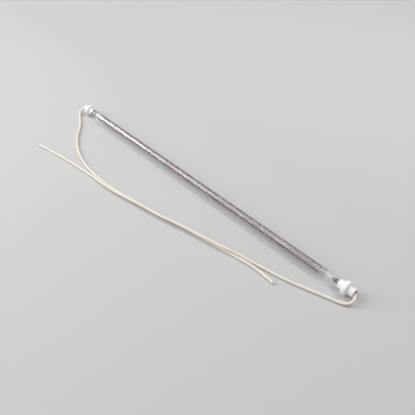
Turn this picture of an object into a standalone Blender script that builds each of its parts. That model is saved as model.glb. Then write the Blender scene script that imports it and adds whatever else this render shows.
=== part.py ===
"""Quartz heating tube: a coiled resistance wire inside a clear quartz tube with two ceramic end caps.

The tube lies along X on the round collars of its caps, with the floor at z = 0 and its middle over
the origin. Each cap's spigot is cemented into the tube's bore. A steel terminal in the cap's bore
joins the coil's straight leg to the conductor of a flexible lead, which leaves through the nose.
"""

import math

import bmesh
import bpy
import numpy as np
from mathutils import Matrix, Vector

MM = 0.001

# Quartz tube
TUBE_LENGTH = 475.0 * MM
TUBE_DIAMETER = 10.0 * MM
TUBE_WALL = 0.8 * MM
TUBE_LIP = 0.2 * MM

# Heating coil
WIRE_DIAMETER = 0.5 * MM
WIRE_SIDES = 3
COIL_PITCH = 2.7 * MM
COIL_SIDE_GAP = 0.2 * MM
COIL_STEPS = 8
COLD_END = 28.0 * MM
OPEN_TURNS = 2
OPEN_PITCH = 3.4 * MM

# Ceramic end caps
SPIGOT_LENGTH = 5.9 * MM
SPIGOT_CHAMFER = 0.3 * MM
COLLAR_DIAMETER = 15.0 * MM
COLLAR_THICKNESS = 6.5 * MM
COLLAR_ROUNDING = 1.8 * MM
NOSE_DIAMETER = 9.5 * MM
NOSE_LENGTH = 7.1 * MM
NOSE_ROUNDING = 1.0 * MM
NOSE_FILLET = 0.4 * MM
SHOULDER_FLAT = 0.5 * MM
MOUTH_FLARE = 0.9 * MM
MOUTH_DEPTH = 1.8 * MM
MOUTH_RIM = 0.4 * MM

# Cement between spigot and tube
CEMENT_THICKNESS = 0.5 * MM
CEMENT_CHAMFER = 0.12 * MM

# Steel terminals and the conductors in them
TERMINAL_DIAMETER = 4.4 * MM
TERMINAL_REACH = 8.7 * MM
TERMINAL_CHAMFER = 0.4 * MM
CRIMP_DEPTH = 0.35 * MM
CRIMP_WIDTH = 1.6 * MM
LEG_GRIP = 5.0 * MM
CONDUCTOR_DIAMETER = 1.4 * MM
CONDUCTOR_GRIP = 6.2 * MM
CONDUCTOR_BARE = 1.3 * MM
LEG_TO_CONDUCTOR = 0.8 * MM

# Flexible leads
LEAD_DIAMETER = 3.2 * MM
LEAD_STEP = 3.0 * LEAD_DIAMETER

# Clearances between neighbouring pieces
SEAT_GAP = 0.3 * MM
FILM_GAP = 0.15 * MM
BORE_GAP = 0.2 * MM

# The most of a wall that a fillet, chamfer or crimp on it may take
FILLET_SHARE = 0.4

# Facets round each turned piece and along its arcs, and the angle from which an edge is shaded sharp
TURNED_STEPS = 28
TERMINAL_STEPS = 16
CONDUCTOR_STEPS = 12
LIP_ARC_STEPS = 1
FILLET_ARC_STEPS = 2
NOSE_ARC_STEPS = 3
COLLAR_ARC_STEPS = 4
SHARP_ANGLE = math.radians(40.0)

TUBE_RADIUS = TUBE_DIAMETER / 2
TUBE_BORE = TUBE_RADIUS - TUBE_WALL
CEMENT_OUTER = TUBE_BORE - FILM_GAP
CEMENT_INNER = CEMENT_OUTER - CEMENT_THICKNESS
SPIGOT_RADIUS = CEMENT_INNER - FILM_GAP
COLLAR_RADIUS = COLLAR_DIAMETER / 2
NOSE_RADIUS = NOSE_DIAMETER / 2
TERMINAL_RADIUS = TERMINAL_DIAMETER / 2
CAP_BORE = TERMINAL_RADIUS + BORE_GAP
AXIS_HEIGHT = COLLAR_RADIUS
CAP_SEAT = TUBE_LENGTH / 2 + SEAT_GAP
SPIGOT_FACE = CAP_SEAT - SPIGOT_LENGTH
TERMINAL_LENGTH = LEG_GRIP + LEG_TO_CONDUCTOR + CONDUCTOR_GRIP
TERMINAL_INNER_END = SPIGOT_FACE - TERMINAL_REACH
TERMINAL_OUTER_END = TERMINAL_INNER_END + TERMINAL_LENGTH

# Points of each lead's centre line in millimetres, from inside the cap to the cut end
RIGHT_LEAD_ROUTE = (
    (236.5, 0.0, 7.5), (241.0, 0.0, 7.5), (245.5, 0.0, 7.5), (249.9, -0.2, 7.4),
    (252.0, -1.15, 7.0), (253.8, -2.9, 6.3), (254.9, -6.3, 4.95), (254.2, -9.9, 3.5),
    (251.5, -12.8, 2.45), (247.3, -14.8, 1.85), (242.5, -16.4, 1.65), (234.5, -18.9, 1.65),
    (217.0, -24.6, 1.65), (206.0, -28.1, 1.65), (191.0, -32.3, 1.65),
    (177.0, -35.3, 1.65), (165.0, -37.6, 1.65), (156.0, -39.6, 1.9), (147.5, -41.7, 2.9),
    (137.5, -44.3, 4.1), (128.0, -47.0, 4.9), (118.5, -49.7, 5.2), (98.0, -54.2, 5.1),
    (76.5, -58.4, 4.9), (54.5, -62.8, 4.7), (32.5, -68.2, 4.4), (14.5, -71.5, 4.2),
    (-5.0, -74.6, 4.0), (-23.5, -78.0, 3.7), (-40.0, -80.8, 3.4), (-61.0, -83.6, 3.0),
    (-81.5, -84.2, 2.3), (-97.0, -84.6, 1.75), (-114.0, -86.2, 1.65), (-144.5, -89.5, 1.65),
    (-176.0, -94.2, 1.65), (-197.5, -98.0, 1.65), (-208.0, -100.0, 1.65),
)
LEFT_LEAD_ROUTE = (
    (-236.5, 0.0, 7.5), (-241.0, 0.0, 7.5), (-245.5, 0.0, 7.5), (-249.9, -0.2, 7.4),
    (-252.0, -1.15, 7.0), (-253.8, -2.9, 6.3), (-254.9, -6.3, 4.95), (-254.2, -9.9, 3.5),
    (-251.5, -12.8, 2.45), (-247.5, -15.0, 1.85), (-243.0, -17.2, 1.65), (-236.0, -20.8, 1.65),
    (-222.5, -28.5, 1.65), (-206.5, -40.0, 1.65), (-189.0, -52.5, 1.65), (-168.0, -64.0, 1.65),
    (-146.0, -72.3, 1.65), (-124.0, -77.5, 1.65), (-107.0, -79.8, 1.65), (-81.5, -80.4, 1.65),
    (-61.0, -79.6, 1.65), (-40.0, -77.6, 1.65), (-24.0, -75.0, 1.65), (-5.0, -71.8, 1.65),
    (14.5, -68.8, 1.65), (32.0, -65.5, 1.65), (54.0, -60.8, 1.65), (76.5, -56.9, 1.65),
    (97.5, -53.4, 1.65), (118.5, -50.0, 1.65), (138.0, -46.8, 1.65), (150.0, -45.0, 1.65),
    (160.0, -44.2, 1.65), (172.0, -44.3, 1.65), (185.5, -45.0, 1.65),
)


def clear_scene():
    """Remove every object that the open file holds."""
    for old in list(bpy.data.objects):
        bpy.data.objects.remove(old, do_unlink=True)


def make_material(name, colour, roughness, metallic=0.0, transmission=0.0):
    """Return a Principled material."""
    material = bpy.data.materials.new(name)
    material.use_nodes = True
    shader = material.node_tree.nodes["Principled BSDF"]
    shader.inputs["Base Color"].default_value = (*colour, 1.0)
    shader.inputs["Roughness"].default_value = roughness
    shader.inputs["Metallic"].default_value = metallic
    shader.inputs["Transmission Weight"].default_value = transmission
    return material


def add_object(name, data, material, parent=None, x=0.0, turned=False):
    """Link an object at a place along the tube's axis, turned end for end where asked."""
    item = bpy.data.objects.new(name, data)
    bpy.context.scene.collection.objects.link(item)
    if not data.materials:
        data.materials.append(material)
    item.parent = parent
    item.location = (x, 0.0, 0.0)
    item.rotation_euler = (0.0, 0.0, math.pi if turned else 0.0)
    return item


def rounded(corners):
    """Return the points of a closed outline in which a corner (x, r, radius, steps) becomes an arc."""
    points = []
    count = len(corners)
    for index, (x, r, radius, steps) in enumerate(corners):
        here = Vector((x, r))
        if radius <= 0.0:
            points.append(here)
            continue
        before = (Vector(corners[index - 1][:2]) - here).normalized()
        after = (Vector(corners[(index + 1) % count][:2]) - here).normalized()
        half_angle = before.angle(after) / 2
        start = here + before * radius / math.tan(half_angle)
        centre = here + (before + after).normalized() * radius / math.sin(half_angle)
        spoke = start - centre
        sweep = math.pi - 2 * half_angle
        side = 1.0 if before.x * after.y - before.y * after.x < 0.0 else -1.0
        for step in range(steps + 1):
            turn = side * sweep * step / steps
            points.append(centre + Matrix.Rotation(turn, 2) @ spoke)
    return points


def turned_mesh(name, outline, steps):
    """Spin a closed outline of (x, radius) points round the X axis into one closed ring."""
    shape = bmesh.new()
    points = [shape.verts.new((x, 0.0, -r)) for x, r in outline]
    edges = [shape.edges.new((points[i - 1], points[i])) for i in range(len(points))]
    bmesh.ops.spin(shape, geom=points + edges, cent=(0, 0, 0), axis=(1, 0, 0),
                   angle=2 * math.pi, steps=steps, use_merge=True)
    return finished_mesh(name, shape)


def finished_mesh(name, shape):
    """Turn a bmesh into a mesh with outward faces, shaded smooth between its sharp edges."""
    bmesh.ops.recalc_face_normals(shape, faces=shape.faces)
    mesh = bpy.data.meshes.new(name)
    shape.to_mesh(mesh)
    shape.free()
    mesh.shade_smooth()
    mesh.set_sharp_from_angle(angle=SHARP_ANGLE)
    return mesh


def tube_mesh():
    """The quartz tube, with its ends melted to a soft lip."""
    half = TUBE_LENGTH / 2
    lip = min(TUBE_LIP, FILLET_SHARE * TUBE_WALL)
    return turned_mesh("quartz_tube", rounded([
        (-half, TUBE_BORE, lip, LIP_ARC_STEPS),
        (half, TUBE_BORE, lip, LIP_ARC_STEPS),
        (half, TUBE_RADIUS, lip, LIP_ARC_STEPS),
        (-half, TUBE_RADIUS, lip, LIP_ARC_STEPS),
    ]), TURNED_STEPS)


def cap_mesh():
    """The ceramic cap: spigot, round collar, nose and a straight bore with a flared mouth.

    Its seat, the face that the tube's end meets, is at x = 0 and its nose points to +X.
    """
    nose_wall = NOSE_RADIUS - CAP_BORE
    shoulder = COLLAR_RADIUS - NOSE_RADIUS - NOSE_FILLET
    flare = min(MOUTH_FLARE, FILLET_SHARE * nose_wall)
    mouth_depth = min(MOUTH_DEPTH, FILLET_SHARE * NOSE_LENGTH)
    nose_round = min(NOSE_ROUNDING, nose_wall - flare - MOUTH_RIM, FILLET_SHARE * NOSE_LENGTH)
    collar_round = min(COLLAR_ROUNDING, FILLET_SHARE * COLLAR_THICKNESS, shoulder - SHOULDER_FLAT)
    spigot_chamfer = min(SPIGOT_CHAMFER, FILLET_SHARE * (SPIGOT_RADIUS - CAP_BORE))
    collar_end = COLLAR_THICKNESS
    nose_end = COLLAR_THICKNESS + NOSE_LENGTH
    return turned_mesh("end_cap", rounded([
        (-SPIGOT_LENGTH, CAP_BORE, 0.0, 0),
        (nose_end - mouth_depth, CAP_BORE, 0.0, 0),
        (nose_end, CAP_BORE + flare, 0.0, 0),
        (nose_end, NOSE_RADIUS, nose_round, NOSE_ARC_STEPS),
        (collar_end, NOSE_RADIUS, NOSE_FILLET, FILLET_ARC_STEPS),
        (collar_end, COLLAR_RADIUS, collar_round, COLLAR_ARC_STEPS),
        (0.0, COLLAR_RADIUS, collar_round, COLLAR_ARC_STEPS),
        (0.0, SPIGOT_RADIUS, 0.0, 0),
        (-SPIGOT_LENGTH + spigot_chamfer, SPIGOT_RADIUS, 0.0, 0),
        (-SPIGOT_LENGTH, SPIGOT_RADIUS - spigot_chamfer, 0.0, 0),
    ]), TURNED_STEPS)


def cement_mesh():
    """The cement ring round the spigot, from the cap's seat at x = 0 back to the spigot's face."""
    chamfer = min(CEMENT_CHAMFER, FILLET_SHARE * CEMENT_THICKNESS)
    return turned_mesh("cement_ring", [
        (-SPIGOT_LENGTH, CEMENT_INNER),
        (-SEAT_GAP, CEMENT_INNER),
        (-SEAT_GAP, CEMENT_OUTER),
        (-SPIGOT_LENGTH + chamfer, CEMENT_OUTER),
        (-SPIGOT_LENGTH, CEMENT_OUTER - chamfer),
    ], TURNED_STEPS)


def terminal_mesh():
    """The crimped terminal: its inner end at x = 0 grips the coil's leg, its outer end the conductor."""
    leg_bore = WIRE_DIAMETER / 2 + SEAT_GAP
    conductor_bore = CONDUCTOR_DIAMETER / 2 + SEAT_GAP
    step_end = TERMINAL_LENGTH - CONDUCTOR_GRIP - SEAT_GAP
    step_start = step_end - (conductor_bore - leg_bore)
    wall = TERMINAL_RADIUS - conductor_bore
    chamfer = min(TERMINAL_CHAMFER, FILLET_SHARE * wall)
    depth = min(CRIMP_DEPTH, FILLET_SHARE * wall)
    outline = [
        (0.0, leg_bore),
        (step_start, leg_bore),
        (step_end, conductor_bore),
        (TERMINAL_LENGTH, conductor_bore),
        (TERMINAL_LENGTH, TERMINAL_RADIUS - chamfer),
        (TERMINAL_LENGTH - chamfer, TERMINAL_RADIUS),
    ]
    for middle in (TERMINAL_LENGTH - CONDUCTOR_GRIP / 2, LEG_GRIP / 2):
        near, far = middle - CRIMP_WIDTH / 2, middle + CRIMP_WIDTH / 2
        outline += [
            (far + depth, TERMINAL_RADIUS),
            (far, TERMINAL_RADIUS - depth),
            (near, TERMINAL_RADIUS - depth),
            (near - depth, TERMINAL_RADIUS),
        ]
    outline += [(chamfer, TERMINAL_RADIUS), (0.0, TERMINAL_RADIUS - chamfer)]
    return turned_mesh("terminal", outline, TERMINAL_STEPS)


def conductor_mesh():
    """The lead's bare conductor, from its end in the terminal at x = 0 to just short of the jacket."""
    length = CONDUCTOR_GRIP + CONDUCTOR_BARE - SEAT_GAP
    radius = CONDUCTOR_DIAMETER / 2
    along_x = Matrix.Translation((length / 2, 0.0, 0.0)) @ Matrix.Rotation(math.pi / 2, 4, "Y")
    shape = bmesh.new()
    bmesh.ops.create_cone(shape, cap_ends=True, segments=CONDUCTOR_STEPS, radius1=radius,
                          radius2=radius, depth=length, matrix=along_x)
    return finished_mesh("conductor", shape)


def smooth_step(value):
    """Ease from 0 to 1 as the value goes from 0 to 1."""
    value = max(0.0, min(1.0, value))
    return value * value * (3.0 - 2.0 * value)


def coil_points(mean_radius):
    """Centre line of the heating wire: leg, open turns, close turns, open turns, leg."""
    close_length = TUBE_LENGTH - 2 * COLD_END
    close_turns = max(1, round(close_length / COIL_PITCH))
    pitch = close_length / close_turns
    total = close_turns + 2 * OPEN_TURNS
    half = close_length / 2 + OPEN_TURNS * OPEN_PITCH
    leg_end = TERMINAL_INNER_END + LEG_GRIP
    points = [(-leg_end, 0.0, 0.0), (-(leg_end + half) / 2, 0.0, 0.0)]
    for step in range(total * COIL_STEPS + 1):
        turn = step / COIL_STEPS
        radius = mean_radius * smooth_step(turn) * smooth_step(total - turn)
        if turn < OPEN_TURNS:
            x = -half + turn * OPEN_PITCH
        elif turn > total - OPEN_TURNS:
            x = half - (total - turn) * OPEN_PITCH
        else:
            x = -close_length / 2 + (turn - OPEN_TURNS) * pitch
        angle = 2 * math.pi * turn
        points.append((x, radius * math.cos(angle), radius * math.sin(angle)))
    points += [((leg_end + half) / 2, 0.0, 0.0), (leg_end, 0.0, 0.0)]
    return points


def poly_curve(name, points):
    """A 3-D curve through the points, with closed ends."""
    curve = bpy.data.curves.new(name, "CURVE")
    curve.dimensions = "3D"
    curve.use_fill_caps = True
    spline = curve.splines.new("POLY")
    spline.points.add(len(points) - 1)
    for place, point in zip(spline.points, points):
        place.co = (*point, 1.0)
    spline.use_smooth = True
    return curve


def wire_section():
    """A guide curve across the wire, with few sides and the area of the round wire."""
    corner = 2 * math.pi / WIRE_SIDES
    reach = WIRE_DIAMETER / 2 * math.sqrt(corner / math.sin(corner))
    curve = bpy.data.curves.new("wire_section", "CURVE")
    curve.dimensions = "2D"
    spline = curve.splines.new("POLY")
    spline.points.add(WIRE_SIDES - 1)
    spline.use_cyclic_u = True
    for index, place in enumerate(spline.points):
        place.co = (reach * math.cos(corner * index), -reach * math.sin(corner * index), 0.0, 1.0)
    guide = bpy.data.objects.new("wire_section", curve)
    bpy.context.scene.collection.objects.link(guide)
    guide.hide_render = True
    guide.display_type = "WIRE"
    return guide, reach


def lead_points(route):
    """Points a few diameters apart on the natural cubic spline through the route's own points."""
    places = np.array(route) * MM
    spans = np.linalg.norm(np.diff(places, axis=0), axis=1)
    slopes = np.diff(places, axis=0) / spans[:, None]
    rows = np.eye(len(places))
    bends = np.zeros_like(places)
    for index in range(1, len(places) - 1):
        before, after = spans[index - 1], spans[index]
        rows[index, index - 1:index + 2] = before, 2 * (before + after), after
        bends[index] = 6 * (slopes[index] - slopes[index - 1])
    bends = np.linalg.solve(rows, bends)
    points = []
    for index, span in enumerate(spans):
        steps = math.ceil(span / LEAD_STEP)
        for step in range(steps):
            far = step / steps
            near = 1.0 - far
            straight = near * places[index] + far * places[index + 1]
            sag = (near ** 3 - near) * bends[index] + (far ** 3 - far) * bends[index + 1]
            points.append(straight + sag * span ** 2 / 6)
    points.append(places[-1])
    return points


def add_lead(name, route, material):
    """A lead's jacket as one round tube along its route."""
    curve = poly_curve(name, lead_points(route))
    curve.bevel_depth = LEAD_DIAMETER / 2
    curve.bevel_resolution = 2
    return add_object(name, curve, material)


def build():
    """Make every piece and place it along the tube's axis."""
    clear_scene()
    axis = bpy.data.objects.new("tube_axis", None)
    bpy.context.scene.collection.objects.link(axis)
    axis.location = (0.0, 0.0, AXIS_HEIGHT)

    quartz = make_material("clear_quartz", (0.95, 0.96, 0.96), 0.03, transmission=1.0)
    resistance_wire = make_material("oxidised_wire", (0.16, 0.13, 0.13), 0.55, metallic=0.7)
    ceramic = make_material("white_ceramic", (0.90, 0.90, 0.88), 0.45)
    cement = make_material("white_cement", (0.86, 0.85, 0.82), 0.85)
    steel = make_material("dark_steel", (0.20, 0.18, 0.18), 0.45, metallic=0.9)
    copper = make_material("tinned_copper", (0.62, 0.58, 0.54), 0.35, metallic=1.0)
    jacket = make_material("cream_jacket", (0.88, 0.82, 0.73), 0.60)

    add_object("quartz_tube", tube_mesh(), quartz, axis)

    section, wire_reach = wire_section()
    coil = poly_curve("heating_coil", coil_points(TUBE_BORE - COIL_SIDE_GAP - wire_reach))
    coil.bevel_mode = "OBJECT"
    coil.bevel_object = section
    add_object("heating_coil", coil, resistance_wire, axis)

    turned_pieces = (
        ("end_cap", cap_mesh(), ceramic, CAP_SEAT),
        ("cement_ring", cement_mesh(), cement, CAP_SEAT),
        ("terminal", terminal_mesh(), steel, TERMINAL_INNER_END),
        ("conductor", conductor_mesh(), copper, TERMINAL_OUTER_END - CONDUCTOR_GRIP),
    )
    for name, mesh, material, x in turned_pieces:
        add_object("right_" + name, mesh, material, axis, x)
        add_object("left_" + name, mesh, material, axis, -x, turned=True)

    add_lead("right_lead", RIGHT_LEAD_ROUTE, jacket)
    add_lead("left_lead", LEFT_LEAD_ROUTE, jacket)
    bpy.context.view_layer.update()


build()
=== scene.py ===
"""The looks of a quartz heating tube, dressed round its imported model.

The tube lies along X on the round collars of its two ceramic caps. Every piece takes its place from
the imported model's boxes: the drawn quartz, the wound wire in it, the caps with their cement, the
crimped ferrules with the stranded conductors in them, and the two limp leads on the floor.
"""

import logging
import math
from dataclasses import dataclass
from enum import Enum

import bmesh
import bpy
import numpy as np
from mathutils import Matrix, Vector, noise


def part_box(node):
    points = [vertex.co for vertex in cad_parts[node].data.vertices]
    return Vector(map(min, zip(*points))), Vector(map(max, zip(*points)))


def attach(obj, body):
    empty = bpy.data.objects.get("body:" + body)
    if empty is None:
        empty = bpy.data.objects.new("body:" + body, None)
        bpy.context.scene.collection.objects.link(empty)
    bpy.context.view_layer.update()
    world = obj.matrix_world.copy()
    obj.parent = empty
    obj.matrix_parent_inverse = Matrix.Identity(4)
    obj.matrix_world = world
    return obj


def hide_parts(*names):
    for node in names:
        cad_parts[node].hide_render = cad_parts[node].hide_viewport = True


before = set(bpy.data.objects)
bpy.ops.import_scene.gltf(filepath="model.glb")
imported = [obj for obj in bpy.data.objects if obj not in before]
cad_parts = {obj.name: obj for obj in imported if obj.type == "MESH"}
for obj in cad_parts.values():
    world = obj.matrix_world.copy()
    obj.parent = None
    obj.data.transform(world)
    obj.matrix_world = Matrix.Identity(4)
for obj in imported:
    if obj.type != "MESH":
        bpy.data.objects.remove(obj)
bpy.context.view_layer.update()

log = logging.getLogger("heating_tube")

MM = 0.001
BODY = "root"
SMOOTH_ANGLE = math.radians(32.0)
SAME_POINT = 0.0005 * MM

Route = tuple[tuple[float, float, float], ...]
Colour = tuple[float, float, float]
Span = tuple[float, float]
Socket = bpy.types.NodeSocket
Node = bpy.types.Node
Tree = bpy.types.NodeTree
Material = bpy.types.Material
Shape = bmesh.types.BMesh
UNIT: Span = (0.0, 1.0)


class Side(Enum):
    """An end of the tube, with its direction along the tube's axis."""

    RIGHT = 1
    LEFT = -1

    @property
    def word(self) -> str:
        """The end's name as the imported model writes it."""
        return self.name.lower()

    def place(self, along: float) -> Matrix:
        """Turn and shift a piece that is modelled outwards from x = 0.

        Args:
            along: Distance of the piece's own x = 0 from the tube's middle, in metres.

        Returns:
            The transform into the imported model's frame.
        """
        turn = 0.0 if self is Side.RIGHT else math.pi
        return Matrix.Translation((self.value * along, 0.0, AXIS_HEIGHT)) @ Matrix.Rotation(turn, 4, "Z")


TUBE_LOW, TUBE_HIGH = (Vector(corner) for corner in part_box("quartz_tube"))
CAP_LOW, CAP_HIGH = (Vector(corner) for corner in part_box("right_end_cap"))
FERRULE_LOW, FERRULE_HIGH = (Vector(corner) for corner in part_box("right_terminal"))
CONDUCTOR_LOW, CONDUCTOR_HIGH = (Vector(corner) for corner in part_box("right_conductor"))
AXIS_HEIGHT = (TUBE_LOW.z + TUBE_HIGH.z) / 2
ON_AXIS = Matrix.Translation((0.0, 0.0, AXIS_HEIGHT))


class Ramp(Enum):
    """How a value runs from the start of a range to its end."""

    STRAIGHT = "LINEAR"
    SMOOTH = "SMOOTHSTEP"


class Wiring:
    """Adds nodes to a node tree and joins their sockets."""

    def __init__(self, tree: Tree) -> None:
        """Keep the tree that the nodes go into."""
        self.tree = tree

    def feed(self, node: Node, inputs: dict) -> None:
        """Set a node's inputs.

        Args:
            node: The node.
            inputs: For each input socket, a value or the output socket that feeds it.
        """
        for key, value in inputs.items():
            if isinstance(value, Socket):
                self.tree.links.new(value, node.inputs[key])
            else:
                node.inputs[key].default_value = value

    def add(self, kind: str, inputs: dict | None = None, **settings: object) -> Node:
        """Add one node.

        Args:
            kind: The node's type name.
            inputs: Its inputs, as feed takes them.
            settings: Properties of the node itself.

        Returns:
            The new node.
        """
        node = self.tree.nodes.new(kind)
        for key, value in settings.items():
            setattr(node, key, value)
        self.feed(node, inputs or {})
        return node

    def vectors(self, operation: str, inputs: dict) -> Node:
        """Add a Vector Math node of one operation."""
        return self.add("ShaderNodeVectorMath", inputs, operation=operation)

    def maths(self, operation: str, first: object, second: object = 0.0) -> Socket:
        """Add a Math node of one operation and return its result."""
        return self.add("ShaderNodeMath", {0: first, 1: second}, operation=operation).outputs[0]

    def noise(self, vector: Socket, scale: object, detail: float, roughness: float) -> Socket:
        """Add a noise texture and return its value."""
        return self.add("ShaderNodeTexNoise", {
            "Vector": vector, "Scale": scale, "Detail": detail, "Roughness": roughness,
        }).outputs["Fac"]

    def ramp(self, value: Socket, goal: Span, source: Span = UNIT, kind: Ramp = Ramp.STRAIGHT) -> Socket:
        """Carry a value over from one range to another.

        Args:
            value: The value.
            goal: The range that it goes to and doesn't leave.
            source: The range that it comes from.
            kind: How it runs from end to end.

        Returns:
            The value in its new range.
        """
        return self.add("ShaderNodeMapRange", {
            "Value": value, "From Min": source[0], "From Max": source[1],
            "To Min": goal[0], "To Max": goal[1],
        }, interpolation_type=kind.value).outputs[0]

    def blend(self, share: object, first: object, second: object) -> Socket:
        """Mix two colours.

        Args:
            share: How much of the second colour shows, as a value or a socket.
            first: The colour at a share of 0.
            second: The colour at a share of 1.

        Returns:
            The mixed colour's socket.
        """
        return self.add("ShaderNodeMix", {0: share, 6: first, 7: second}, data_type="RGBA").outputs[2]


def opaque(colour: Colour) -> tuple[float, float, float, float]:
    """The colour with an alpha of 1, as a colour socket takes it."""
    return (*colour, 1.0)


def grey(level: float) -> tuple[float, float, float, float]:
    """An opaque grey of a level."""
    return opaque((level, level, level))


class Effects:
    """The shader groups that more than one finish uses, each built once."""

    def __init__(self) -> None:
        """Build every group."""
        self.mottle = self._mottle()
        self.relief = self._relief()
        self.streaks = self._streaks()
        self.dust = self._dust()

    @staticmethod
    def _start(name: str, inputs: dict[str, str], outputs: dict[str, str]) -> tuple:
        """Open a new shader group.

        Args:
            name: The group's name.
            inputs: For each input, its socket type.
            outputs: For each output, its socket type.

        Returns:
            The group, its wiring, the sockets of its inputs and its output node.
        """
        group = bpy.data.node_groups.new(name, "ShaderNodeTree")
        for sockets, way in ((inputs, "INPUT"), (outputs, "OUTPUT")):
            for label, kind in sockets.items():
                group.interface.new_socket(name=label, in_out=way, socket_type="NodeSocket" + kind)
        wiring = Wiring(group)
        return group, wiring, wiring.add("NodeGroupInput").outputs, wiring.add("NodeGroupOutput")

    def _mottle(self) -> Tree:
        """Soft cloudy variation between two colours."""
        group, wiring, given, result = self._start(
            "mottle",
            {"Vector": "Vector", "Scale": "Float", "Contrast": "Float", "Colour": "Color",
             "Other Colour": "Color"},
            {"Colour": "Color", "Mask": "Float"},
        )
        clouds = wiring.noise(given["Vector"], given["Scale"], detail=5.0, roughness=0.6)
        stretched = wiring.maths("MULTIPLY", wiring.maths("SUBTRACT", clouds, 0.5), given["Contrast"])
        mask = wiring.add("ShaderNodeClamp", {"Value": wiring.maths("ADD", stretched, 0.5)}).outputs[0]
        colour = wiring.blend(mask, given["Colour"], given["Other Colour"])
        wiring.feed(result, {"Colour": colour, "Mask": mask})
        return group

    def _relief(self) -> Tree:
        """Fine uneven relief as a surface normal."""
        group, wiring, given, result = self._start(
            "relief",
            {"Vector": "Vector", "Scale": "Float", "Depth": "Float", "Added Height": "Float"},
            {"Normal": "Vector"},
        )
        grain = wiring.noise(given["Vector"], given["Scale"], detail=6.0, roughness=0.65)
        height = wiring.maths("ADD", grain, given["Added Height"])
        bump = wiring.add("ShaderNodeBump", {"Strength": 1.0, "Distance": given["Depth"], "Height": height})
        wiring.feed(result, {"Normal": bump.outputs["Normal"]})
        return group

    def _streaks(self) -> Tree:
        """Fine lines along the first axis of the given vector, as drawing and extruding leave them."""
        group, wiring, given, result = self._start(
            "streaks",
            {"Vector": "Vector", "Along": "Float", "Across": "Float"},
            {"Mask": "Float"},
        )
        across = given["Across"]
        stretch = wiring.add("ShaderNodeCombineXYZ", {0: given["Along"], 1: across, 2: across})
        scaled = wiring.vectors("MULTIPLY", {0: given["Vector"], 1: stretch.outputs[0]}).outputs[0]
        wiring.feed(result, {"Mask": wiring.noise(scaled, 1.0, detail=3.0, roughness=0.5)})
        return group

    def _dust(self) -> Tree:
        """A thin patchy veil on the faces that look upwards."""
        group, wiring, given, result = self._start(
            "dust",
            {"Vector": "Vector", "Scale": "Float", "Amount": "Float"},
            {"Mask": "Float"},
        )
        normal = wiring.add("ShaderNodeNewGeometry").outputs["Normal"]
        upwards = wiring.add("ShaderNodeSeparateXYZ", {0: normal}).outputs["Z"]
        lit = wiring.add("ShaderNodeClamp", {"Value": upwards}).outputs[0]
        patches = wiring.noise(given["Vector"], given["Scale"], detail=4.0, roughness=0.7)
        veil = wiring.maths("MULTIPLY", wiring.maths("MULTIPLY", lit, patches), given["Amount"])
        wiring.feed(result, {"Mask": veil})
        return group


@dataclass(frozen=True)
class Finish:
    """A surface finish. Each kind fills in its own colour, roughness and relief.

    The kinds hold an effect's values in pairs: the scale and contrast of clouds, the scale along and
    across of lines, the scale and depth of relief, and the scale and amount of dust. A pair of
    roughnesses runs from the lighter places to the darker ones, or from between the lines to the lines.

    Args:
        name: The material's name.
        effects: The shader groups.
    """

    name: str
    effects: Effects

    def _open(self) -> tuple[Material, Wiring, Node, Socket]:
        """Make an empty material and return it with its wiring, its shader and its Object coordinates."""
        material = bpy.data.materials.new(self.name)
        material.use_nodes = True
        wiring = Wiring(material.node_tree)
        shader = material.node_tree.nodes["Principled BSDF"]
        return material, wiring, shader, wiring.add("ShaderNodeTexCoord").outputs["Object"]

    def _clouds(self, wiring: Wiring, place: Socket, fineness: Span, colour: Colour,
                other: Colour) -> tuple[Socket, Socket]:
        """Vary two colours in soft clouds.

        Args:
            wiring: The material's wiring.
            place: The coordinates.
            fineness: The clouds' scale and their contrast.
            colour: The first colour.
            other: The second colour.

        Returns:
            The colour and the share of the second one.
        """
        clouds = wiring.add("ShaderNodeGroup", {
            "Vector": place, "Scale": fineness[0], "Contrast": fineness[1],
            "Colour": opaque(colour), "Other Colour": opaque(other),
        }, node_tree=self.effects.mottle)
        return clouds.outputs["Colour"], clouds.outputs["Mask"]

    def _lines(self, wiring: Wiring, place: Socket, lines: Span) -> Socket:
        """Return the mask of drawing lines, given as their scale along and across."""
        return wiring.add("ShaderNodeGroup", {"Vector": place, "Along": lines[0], "Across": lines[1]},
                          node_tree=self.effects.streaks).outputs["Mask"]

    def _relief(self, wiring: Wiring, place: Socket, relief: Span, added: object = 0.0) -> Socket:
        """Return the normal of a relief, given as its scale and depth, with a height added to it."""
        return wiring.add("ShaderNodeGroup", {
            "Vector": place, "Scale": relief[0], "Depth": relief[1], "Added Height": added,
        }, node_tree=self.effects.relief).outputs["Normal"]

    def _dusted(self, wiring: Wiring, place: Socket, dust: Span, clean: Socket, dusty: Colour) -> Socket:
        """Return a colour with a veil on its upper faces, given as the veil's scale and amount."""
        veil = wiring.add("ShaderNodeGroup", {"Vector": place, "Scale": dust[0], "Amount": dust[1]},
                          node_tree=self.effects.dust)
        return wiring.blend(veil.outputs["Mask"], clean, opaque(dusty))


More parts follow.
